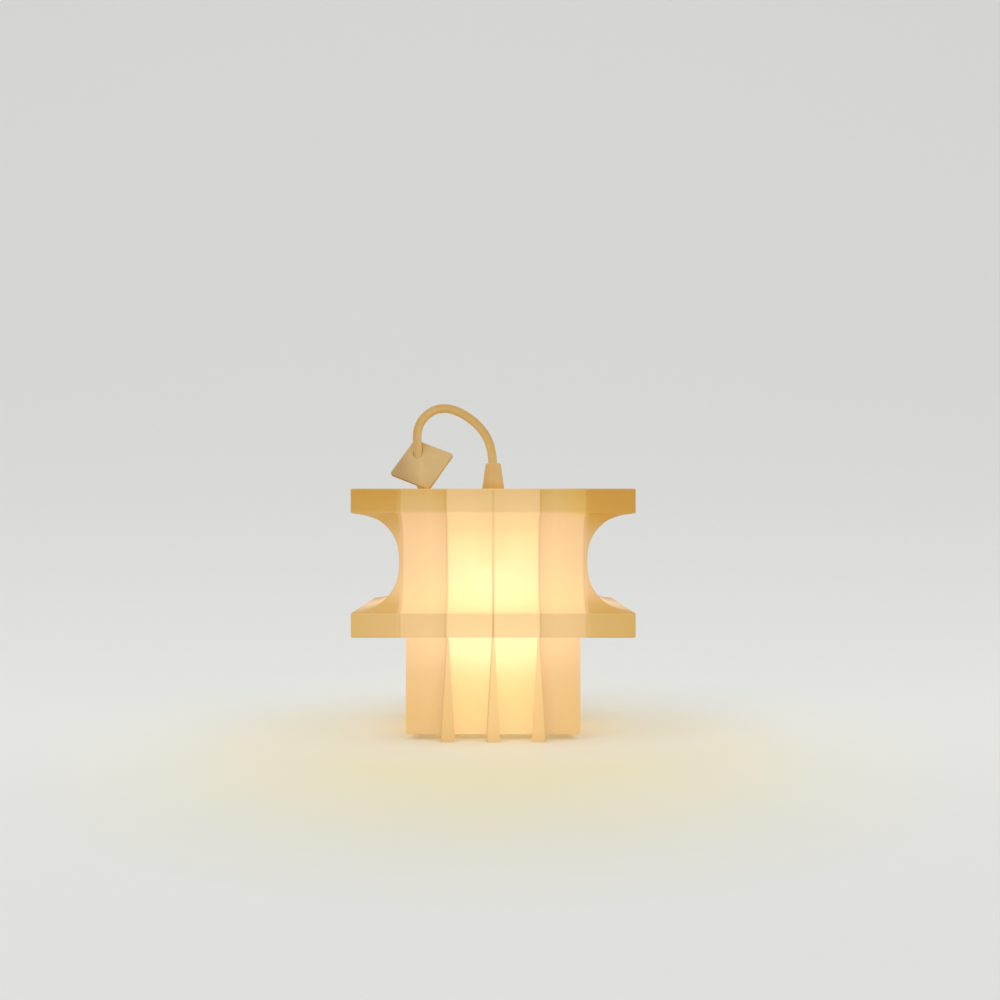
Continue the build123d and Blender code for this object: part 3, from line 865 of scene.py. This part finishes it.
def smooth_line(points: np.ndarray, steps: int) -> np.ndarray:
    """Catmull-Rom line through points, by chord length.

    Args:
        points: Points to go through.
        steps: Samples between neighbours.

    Returns:
        Sampled points, both ends included.
    """
    ends = np.vstack([2 * points[0] - points[1], points, 2 * points[-1] - points[-2]])
    share = np.linspace(0, 1, steps, endpoint=False)[:, None]
    made = []
    for before, here, there, after in zip(ends, ends[1:], ends[2:], ends[3:]):
        span = np.linalg.norm(there - here)
        slope_in = (there - here) / span - (there - before) / (span + np.linalg.norm(here - before))
        slope_in = slope_in + (here - before) / np.linalg.norm(here - before)
        slope_out = (there - here) / span - (after - here) / (span + np.linalg.norm(after - there))
        slope_out = slope_out + (after - there) / np.linalg.norm(after - there)
        cube = 2 * share ** 3 - 3 * share ** 2 + 1
        made.append(cube * here + (1 - cube) * there
                    + (share ** 3 - 2 * share ** 2 + share) * slope_in * span
                    + (share ** 3 - share ** 2) * slope_out * span)
    return np.vstack([*made, points[-1:]])


@dataclass(frozen=True)
class Station:
    """One level of the skin: half width, height, corner radius, and how much waist or band it is."""

    half: float
    height: float
    corner: float
    hollow: float = 0.0
    band: float = 0.0


class FilmSkin:
    """The drawn film over the whole lantern, as one lofted sheet.

    Its edges are rounded, the film sags between the ribs and stands up in a ridge over
    each, and its points stay put across the middle, so that the ribs run straight.
    """

    edge = 1.1 * MM
    waist_edge_share = 0.7
    corner = 2.0 * MM
    band_corner = 1.8 * MM
    waist_corner = 1.7 * MM
    hem = 1.2 * MM
    lid_dip = 0.25 * MM
    shelf_rise = 0.2 * MM
    sag = 0.91 * MM
    band_sag = 0.35 * MM
    ridge = 0.45 * MM
    ridge_width = 1.2 * MM
    fixed_reach = 72.0 * MM
    lid_levels = 14
    band_levels = 9
    shelf_levels = 8
    core_levels = 26
    waist_samples = 7

    def stations(self) -> list[Station]:
        """List the skin's levels from the nipple's hole down to the core's hem.

        Returns:
            The stations in order.
        """
        p = PLAN
        small = self.edge * self.waist_edge_share
        made = self.lid()
        made += self.rounded(p.band_half - self.edge, p.top - self.edge, 90, 0)
        made += self.band(p.top, p.upper_band_foot)
        made += self.rounded(p.band_half - small, p.upper_band_foot + small, 0, -90, self.waist_edge_share)
        made += self.hollow()
        made += self.rounded(p.band_half - small, p.lower_band_top - small, 90, 0, self.waist_edge_share)
        made += self.band(p.lower_band_top, p.lower_band_foot)
        made += self.rounded(p.band_half - self.edge, p.lower_band_foot + self.edge, 0, -90)
        return made + self.shelf_and_core()

    def lid(self) -> list[Station]:
        """Stations of the lid, from the nipple's hole outwards.

        Returns:
            The stations.
        """
        made = []
        reach = PLAN.band_half - 2 * self.edge - PLAN.nipple_radius
        for share in np.linspace(0, 1, self.lid_levels):
            half = PLAN.nipple_radius + reach * share
            corner = PLAN.nipple_radius * (1 - share) ** 2 + 2 * self.edge * share
            dip = -self.lid_dip * math.sin(math.pi * share)
            made.append(Station(half, PLAN.top + dip, min(corner, half)))
        return made

    def band(self, top: float, foot: float) -> list[Station]:
        """Stations down a band's upright side, between its rounded edges.

        Args:
            top: Height of the band's top.
            foot: Height of its foot.

        Returns:
            The stations.
        """
        made = []
        for share in np.linspace(0.08, 0.92, self.band_levels):
            height = top - self.edge + (foot + 2 * self.edge - top) * share
            made.append(Station(PLAN.band_half, height, self.band_corner, band=math.sin(math.pi * share)))
        return made

    def shelf_and_core(self) -> list[Station]:
        """Stations inwards along the lower shelf and down the core to its hem.

        Returns:
            The stations.
        """
        p = PLAN
        made = []
        for share in np.linspace(0.06, 1, self.shelf_levels):
            half = p.band_half - self.edge + (p.core_half - p.band_half + 2 * self.edge) * share
            rise = self.shelf_rise * math.sin(math.pi * share)
            made.append(Station(half, p.lower_band_foot + rise, self.corner))
        made.append(Station(p.core_half + 0.3 * MM, p.lower_band_foot - 0.3 * MM, self.corner))
        for share in np.linspace(0.02, 1, self.core_levels):
            height = p.lower_band_foot + (p.core_foot + self.hem - p.lower_band_foot) * share
            made.append(Station(p.core_half, height, self.corner))
        made.append(Station(p.core_half - 0.35 * MM, p.core_foot + 0.35 * MM, self.corner))
        made.append(Station(p.core_half - self.hem, p.core_foot, self.corner))
        return made

    def rounded(self, half: float, height: float, start: float, end: float,
                scale: float = 1.0) -> list[Station]:
        """Stations round an edge, about its centre.

        Args:
            half: Half width of the rounding's centre.
            height: Height of its centre.
            start: First angle above level, in degrees.
            end: Last angle, in degrees.
            scale: Share of the full edge radius.

        Returns:
            The stations.
        """
        radius = self.edge * scale
        return [Station(half + radius * math.cos(angle), height + radius * math.sin(angle), self.corner)
                for angle in np.radians(np.linspace(start, end, 5))]

    def hollow(self) -> list[Station]:
        """Stations of the hollow between the bands.

        Returns:
            The stations.
        """
        middle = PLAN.waist_height
        half = [(PLAN.band_half - depth * MM, middle + rise * MM) for rise, depth in WAIST_PROFILE_MM]
        whole = half + [(out, 2 * middle - height) for out, height in reversed(half[:-1])]
        line = smooth_line(np.array(whole), self.waist_samples)[2:-2]
        made = []
        for out, height in line:
            share = 1 - abs(height - middle) / (PLAN.upper_band_foot - middle)
            made.append(Station(out, height, self.waist_corner, hollow=min(1.0, 2.2 * max(share, 0.0))))
        return made

    def side_places(self, straight: float) -> np.ndarray:
        """Places along one side: close together at the ribs, even past the outer ones.

        Args:
            straight: Half the length of the side's straight part.

        Returns:
            Offsets from the side's middle.
        """
        steps = np.unique(np.round(np.concatenate([
            np.arange(-72, 73, 4),
            *[rib / MM + np.array([-2.4, -1.5, -0.8, 0.0, 0.8, 1.5, 2.4]) for rib in PLAN.rib_places],
        ]), 2)) * MM
        if straight < self.fixed_reach:
            return steps * straight / self.fixed_reach
        share = np.linspace(0, 1, 9)[1:]
        outer = self.fixed_reach + (straight - self.fixed_reach) * share
        return np.concatenate([-outer[::-1], steps, outer])

    def ring(self, station: Station, count: int) -> np.ndarray:
        """Points round the skin at one station.

        Args:
            station: The station.
            count: Points wanted on each side.

        Returns:
            The points, one row each.
        """
        straight = station.half - station.corner
        places = self.side_places(straight)
        if len(places) < count:
            extra = (count - len(places)) // 2
            ends = np.linspace(0, 1, extra + 2)[1:-1]
            low = places[0] + (places[1] - places[0]) * ends
            high = places[-2] + (places[-1] - places[-2]) * ends
            places = np.concatenate([places[:1], low, places[1:-1], high, places[-1:]])
        out = np.full(len(places), station.half)
        stays = (-PLAN.corner_rib, *PLAN.rib_places, PLAN.corner_rib)
        for bay_low, bay_high in zip(stays, stays[1:]):
            share = np.clip((places - bay_low) / (bay_high - bay_low), 0, 1)
            slack = self.sag * station.hollow + self.band_sag * station.band
            out -= slack * np.sin(np.pi * share) ** 2
        for rib in PLAN.rib_places:
            height = self.ridge * max(station.hollow, station.band)
            out += height * np.exp(-((places - rib) / self.ridge_width) ** 2)
        turns = np.radians(np.linspace(0, 90, 6)[1:-1])
        corner = np.stack([straight + station.corner * np.sin(turns),
                           straight + station.corner * np.cos(turns)], axis=1)
        side = np.concatenate([np.stack([places, out], axis=1), corner])
        made = []
        for quarter in range(4):
            angle = math.radians(-90 * quarter)
            across, away = side[:, 0], side[:, 1]
            made.append(np.stack([across * math.cos(angle) - away * math.sin(angle),
                                  across * math.sin(angle) + away * math.cos(angle),
                                  np.full(len(side), station.height)], axis=1))
        return np.vstack(made)

    def build(self, library: Library) -> bpy.types.Object:
        """Build the skin.

        Args:
            library: The materials.

        Returns:
            The skin's object.
        """
        stations = self.stations()
        count = len(self.side_places(PLAN.band_half))
        rings = [self.ring(station, count) for station in stations]
        faces = grid_faces(len(rings), len(rings[0]), closed=True)
        skin = mesh_object("film_skin", np.vstack(rings), faces[:, ::-1])
        face_outwards(skin)
        wall = skin.modifiers.new("wall", "SOLIDIFY")
        wall.thickness = PLAN.film
        wall.offset = -1
        skin.data.materials.append(library.material(FILM))
        ride(skin, Body.LANTERN)
        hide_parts("top_cover", "upper_band", "lower_band", "lower_shelf",
                    *[f"{part}_{side}" for part in ("waist_panel", "core_panel")
                      for side in ("front", "right", "back", "left")])
        return skin


def face_outwards(thing: bpy.types.Object) -> None:
    """Point a mesh's faces outwards.

    Args:
        thing: The mesh's object.
    """
    work = bmesh.new()
    work.from_mesh(thing.data)
    bmesh.ops.recalc_face_normals(work, faces=work.faces)
    work.to_mesh(thing.data)
    work.free()


def ride(thing: bpy.types.Object, body: Body) -> None:
    """Make a piece ride on a body.

    Args:
        thing: The piece.
        body: The body.
    """
    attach(thing, body.value)


@dataclass(frozen=True)
class Leg:
    """One blade leg: its node and its place across the lantern."""

    node: str
    across: float


def build_leg(leg: Leg, library: Library) -> bpy.types.Object:
    """Build one blade leg, film drawn round a tapered blade, with soft edges.

    Args:
        leg: Which leg.
        library: The materials.

    Returns:
        The leg's object.
    """
    low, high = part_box(leg.node)
    soft, ring_count = 0.7 * MM, 24
    depth, middle = high[1] - low[1], (low[1] + high[1]) / 2
    heights = np.concatenate([[0.0, 0.25, 0.7, 1.4], np.linspace(3, 9, 4), np.linspace(12, 84.6, 26)]) * MM
    turn = np.linspace(0, 2 * np.pi, ring_count, endpoint=False) + np.pi / ring_count
    right, back = np.sign(np.cos(turn)), np.sign(np.sin(turn))
    rows = []
    for height in heights:
        share = max(0.0, (height - PLAN.leg_foot_height) / (PLAN.lower_band_foot - PLAN.leg_foot_height))
        bevel = max(0.0, soft - height) * 0.6
        half = PLAN.leg_foot_half + (PLAN.leg_top_half - PLAN.leg_foot_half) * share - bevel
        reach = depth / 2 - bevel
        radius = min(soft, half * 0.8)
        x = right * (half - radius) + radius * np.cos(turn) + leg.across
        y = back * (reach - radius) + radius * np.sin(turn) + middle
        rows.append(np.stack([x, y, np.full(ring_count, height)], axis=1))
    faces = grid_faces(len(rows), ring_count, closed=True)
    thing = mesh_object("blade_" + leg.node, np.vstack(rows), faces)
    work = bmesh.new()
    work.from_mesh(thing.data)
    bmesh.ops.holes_fill(work, edges=[e for e in work.edges if e.is_boundary], sides=0)
    bmesh.ops.recalc_face_normals(work, faces=work.faces)
    work.to_mesh(thing.data)
    work.free()
    thing.data.materials.append(library.material(LEG_FILM))
    ride(thing, Body.LANTERN)
    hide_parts(leg.node)
    return thing


# The cord's route, repeated from the part's source, in millimetres
TOP_CORD_Z = 203.75
COIL_HIGH_Z = 12.65
COIL_LOW_Z = 4.55
COIL_INNER, COIL_PITCH, COIL_TURNS, COIL_CROSSING = 29.7, 9.3, 2.5, 0.5
COIL_OUTER = COIL_INNER + COIL_PITCH * COIL_TURNS
DROP_X, DROP_Y, COIL_Y = -62.0, 142.0, 190.0
COIL_X = DROP_X + COIL_OUTER
ROUTE: tuple[Point, ...] = (
    (0.0, 0.0, 214.0),
    (0.0, 0.0, 237.0),
    (-12.0, 0.0, 257.0),
    (-32.0, 0.0, 270.0),
    (-47.1, 0.0, 271.0),
    (-58.6, 0.0, 264.0),
    (-65.0, 0.0, 252.4),
    (-64.2, 0.0, 236.0),
    (-62.6, 0.0, 220.4),
    (-62.2, 6.0, 209.8),
    (-62.0, 16.5, TOP_CORD_Z),
    (-60.4, 34.0, TOP_CORD_Z),
    (-61.0, 50.0, TOP_CORD_Z),
    (-62.0, 77.0, TOP_CORD_Z),
    (-61.4, 104.0, TOP_CORD_Z),
    (-61.8, 124.6, TOP_CORD_Z + 0.6),
    (DROP_X, 136.0, 197.0),
    (DROP_X, DROP_Y, 185.0),
    (DROP_X - 1.2, DROP_Y + 0.8, 160.0),
    (DROP_X - 0.4, DROP_Y - 0.4, 115.0),
    (DROP_X - 0.9, DROP_Y, 72.0),
    (DROP_X, DROP_Y, 44.0),
    (DROP_X, DROP_Y + 3.6, 28.0),
    (DROP_X, DROP_Y + 12.0, 16.6),
    (DROP_X, DROP_Y + 26.0, COIL_HIGH_Z),
)
PLUG_ENTRY: Point = (COIL_X + COIL_OUTER, COIL_Y - 22.0, 7.0)


def coil_points() -> list[Point]:
    """Control points of the coil's turns, from the drop to the plug's lead.

    Returns:
        Points in millimetres.
    """
    total = 2 * COIL_TURNS + COIL_CROSSING
    per_turn = 20
    crossed = COIL_TURNS + COIL_CROSSING
    points = []
    for index in range(round(total * per_turn) + 1):
        turn = index / per_turn
        if turn <= COIL_TURNS:
            radius, height = COIL_OUTER - COIL_PITCH * turn, COIL_HIGH_Z
        elif turn <= crossed:
            share = (turn - COIL_TURNS) / COIL_CROSSING
            radius = COIL_INNER
            height = COIL_HIGH_Z - (COIL_HIGH_Z - COIL_LOW_Z) * (3 - 2 * share) * share ** 2
        else:
            radius, height = COIL_INNER + COIL_PITCH * (turn - crossed), COIL_LOW_Z
        angle = math.pi - 2 * math.pi * turn
        points.append((COIL_X + radius * math.cos(angle), COIL_Y + radius * math.sin(angle), height))
    return points


def build_cord(library: Library) -> bpy.types.Object:
    """Build the whole lead as one smooth curve.

    Args:
        library: The materials.

    Returns:
        The cord's object.
    """
    x, y, z = PLUG_ENTRY
    lead = [(x, COIL_Y - 7.0, COIL_LOW_Z), (x, COIL_Y - 15.0, z), (x, y, z)]
    points = [*ROUTE, *coil_points(), *lead]
    curve = bpy.data.curves.new("mains_lead", "CURVE")
    curve.dimensions = "3D"
    curve.bevel_depth = PLAN.cord_radius
    curve.bevel_resolution = 6
    curve.use_fill_caps = True
    spline = curve.splines.new("NURBS")
    spline.points.add(len(points) - 1)
    for point, place in zip(spline.points, points):
        point.co = (*[value * MM for value in place], 1.0)
    spline.order_u = 3
    spline.use_endpoint_u = True
    spline.resolution_u = 6
    cord = bpy.data.objects.new("mains_lead", curve)
    bpy.context.collection.objects.link(cord)
    curve.materials.append(library.material(CORD))
    ride(cord, Body.LANTERN)
    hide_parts("cord_arch", "cord_drop", "cord_coil")
    return cord


def dress_frame(frame: dict, library: Library) -> None:
    """Give every CAD node that stays its material.

    Args:
        frame: The loaded frame.
        library: The materials.
    """
    finishes = {
        "frame_paint": library.material(FRAME_PAINT_AND_GLOW), "leg_film": library.material(LEG_FILM),
        "film": library.material(FILM), "brass": library.material(BRASS),
        "grip_plastic": library.material(GRIP), "holder_plastic": library.material(HOLDER),
        "bulb_metal": library.material(BULB_METAL), "bulb_glass": library.bulb_glass(),
        "cord": library.material(CORD), "tag": library.material(TAG), "tie": library.material(TIE),
        "plug": library.material(PLUG), "pin_metal": library.material(PIN),
    }
    for entry in frame["record"]["subparts"]:
        thing = bpy.data.objects.get(entry["node"])
        if thing is None:
            LOG.warning("no object for node %s", entry["node"])
            continue
        for slot in thing.material_slots:
            slot.material = finishes[entry["material_slot"]]


# The studio's floor, sweep and backdrop in metres, and the tones of its paper, with the colours of the
# lamplight pool and glow painted on it
FLOOR_FRONT, SWEEP_START = -3.0, 0.8
SWEEP_DEPTH, SWEEP_HEIGHT = 1.9, 1.7
BACKDROP_TOP = 3.8
HALF_ROOM = 4.0
PAPER = (0.90, 0.895, 0.885, 1.0)
LAMPLIT_PAPER = (0.90, 0.82, 0.60, 1.0)
WARM_LIGHT = (0.8, 1.0, 0.6, 1.0)


def paper_material() -> bpy.types.Material:
    """Make the studio's pale paper, warmer in a painted pool of lamplight around the lantern, with a painted
    shadow under it.

    Returns:
        The material.
    """
    material = bpy.data.materials.new("studio_paper")
    material.use_nodes = True
    n = Nodes(material.node_tree)
    shader = material.node_tree.nodes["Principled BSDF"]
    split = n.add("ShaderNodeSeparateXYZ")
    n.link(n.add("ShaderNodeTexCoord").outputs["Object"], split.inputs[0])
    x, y = split.outputs["X"], split.outputs["Y"]
    # Painted shade: the paper darker towards the back of the sweep and towards the front
    far = n.step(y, 0.7, 2.3, 1.0, 0.89)
    near = n.step(y, -0.7, 0.25, 0.905, 1.0)
    spread = n.away(n.product(x, 1.3), n.math("ADD", y, 0.17))
    from_base = n.away(x, y)
    # Painted pool of the lamp's warm light on the paper around the lantern
    pool = n.add("ShaderNodeMix", data_type="RGBA")
    lamplight_share = n.product(n.step(spread, 0.04, 0.44, 1.0, 0.0), n.step(from_base, 0.08, 0.24, 0.35, 1.0))
    n.link(lamplight_share, pool.inputs["Factor"])
    pool.inputs["A"].default_value = PAPER
    pool.inputs["B"].default_value = LAMPLIT_PAPER
    shade = n.add("ShaderNodeHueSaturation")
    n.link(pool.outputs["Result"], shade.inputs["Color"])
    # Painted shadow on the paper under the lantern's core
    square = n.math("MAXIMUM", n.math("ABSOLUTE", x), n.math("ABSOLUTE", y))
    under = n.rise(square, Rise(58.0, 75.0, 0.66, 1.0))
    n.link(n.product(far, near, under), shade.inputs["Value"])
    n.link(shade.outputs["Color"], shader.inputs["Base Color"])
    # A faint painted glow of the lamp's light on the paper near the lantern, given off as emission
    shader.inputs["Emission Color"].default_value = WARM_LIGHT
    n.link(n.step(from_base, 0.09, 0.5, 0.06, 0.0), shader.inputs["Emission Strength"])
    shader.inputs["Roughness"].default_value = 0.9
    shader.inputs["Specular IOR Level"].default_value = 0.1
    return material


def build_stage() -> None:
    """Build the pale floor that sweeps up into the backdrop."""
    line = [(FLOOR_FRONT, 0.0), (SWEEP_START, 0.0)]
    for angle in np.linspace(0.05, math.pi / 2, 30):
        line.append((SWEEP_START + SWEEP_DEPTH * math.sin(angle), SWEEP_HEIGHT * (1 - math.cos(angle))))
    line.append((SWEEP_START + SWEEP_DEPTH, BACKDROP_TOP))
    across = np.linspace(-HALF_ROOM, HALF_ROOM, 9)
    points = np.array([(x, y, z) for y, z in line for x in across])
    floor = mesh_object("studio_sweep", points, grid_faces(len(line), len(across), closed=False))
    floor.data.materials.append(paper_material())


@dataclass(frozen=True)
class SoftLight:
    """A soft box: place, aim, size and power."""

    name: str
    place: Point
    aim: Point
    size: float
    power: float


SOFT_LIGHTS = (
    SoftLight("key", (-1.4, -1.6, 2.2), (0, 0, 0.1), 1.6, 9.0),
    SoftLight("fill", (1.8, -1.2, 1.6), (0, 0, 0.1), 1.8, 5.0),
)


def build_lights() -> None:
    """Add the studio's soft lights and its pale world."""
    for box in SOFT_LIGHTS:
        data = bpy.data.lights.new(box.name, "AREA")
        data.size = box.size
        data.energy = box.power
        light = bpy.data.objects.new(box.name, data)
        light.location = box.place
        towards = Vector(box.aim) - Vector(box.place)
        light.rotation_euler = towards.to_track_quat("-Z", "Y").to_euler()
        bpy.context.collection.objects.link(light)
    world = bpy.data.worlds.new("studio")
    bpy.context.scene.world = world
    world.use_nodes = True
    background = world.node_tree.nodes["Background"]
    background.inputs["Color"].default_value = (*srgb(232, 234, 232), 1.0)
    background.inputs["Strength"].default_value = 1.0


def build_camera() -> None:
    """Place the camera at the photograph's viewing angle."""
    data = bpy.data.cameras.new("camera")
    data.lens = 50.0
    data.sensor_width = 36.0
    data.shift_x = 0.0068
    data.shift_y = 0.021
    camera = bpy.data.objects.new("camera", data)
    camera.location = (0.0, -1.18, 0.175)
    camera.rotation_euler = (math.radians(90), 0, 0)
    bpy.context.collection.objects.link(camera)
    bpy.context.scene.camera = camera


def set_view() -> None:
    """Set plain colour handling."""
    bpy.context.scene.view_settings.view_transform = "Standard"
    bpy.context.scene.view_settings.look = "None"


def main() -> None:
    """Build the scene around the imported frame."""
    logging.basicConfig(level=logging.INFO)
    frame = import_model()
    library = Library(glow_group(), surface_group())
    build_camera()
    set_view()
    build_cord(library)
    FilmSkin().build(library)
    for number, across in enumerate((-PLAN.leg_spacing, 0.0, PLAN.leg_spacing), start=1):
        build_leg(Leg(f"leg_front_{number}", across), library)
        build_leg(Leg(f"leg_back_{number}", -across), library)
    dress_frame(frame, library)
    build_stage()
    build_lights()


if __name__ == "__main__":
    main()
